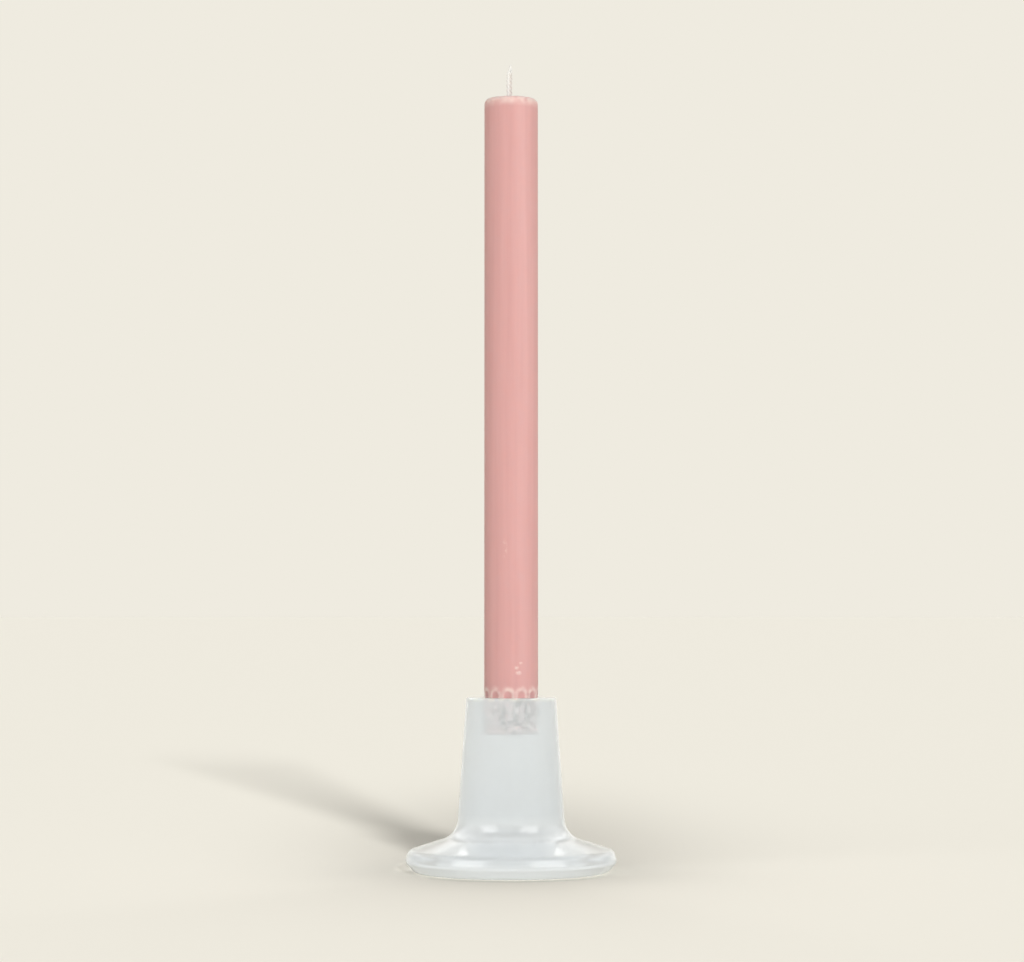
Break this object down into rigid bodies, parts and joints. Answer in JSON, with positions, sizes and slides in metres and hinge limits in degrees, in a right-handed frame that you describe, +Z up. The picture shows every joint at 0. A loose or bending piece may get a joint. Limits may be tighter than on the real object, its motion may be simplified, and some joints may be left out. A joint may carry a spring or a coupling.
{
  "type": "glass candlestick",
  "caption": "Low pressed-glass candlestick with a wide round foot, a tapered stem and a blind socket, holding a straight dinner candle with a flat braided wick.",
  "frame": {"origin": "centre of the glass foot, on the plane that the foot rests on", "axes": "+Z up along the candle, which is the axis that everything is turned about; +X and +Y are any two level directions, with -Y towards the viewer"},
  "size_m": [0.086, 0.086, 0.3313],
  "materials": {
    "glass": "gloss",
    "wax": "satin",
    "wick_cotton": "matte"
  },
  "bodies": {
    "holder": {"glass_holder": "glass"},
    "candle": {"candle_wax": "wax", "wick": "wick_cotton"}
  },
  "joints": [
    {"name": "candle_lift", "type": "slide", "parent": "holder", "child": "candle", "axis": [0, 0, 1], "range_m": [0, 0.03]}
  ]
}
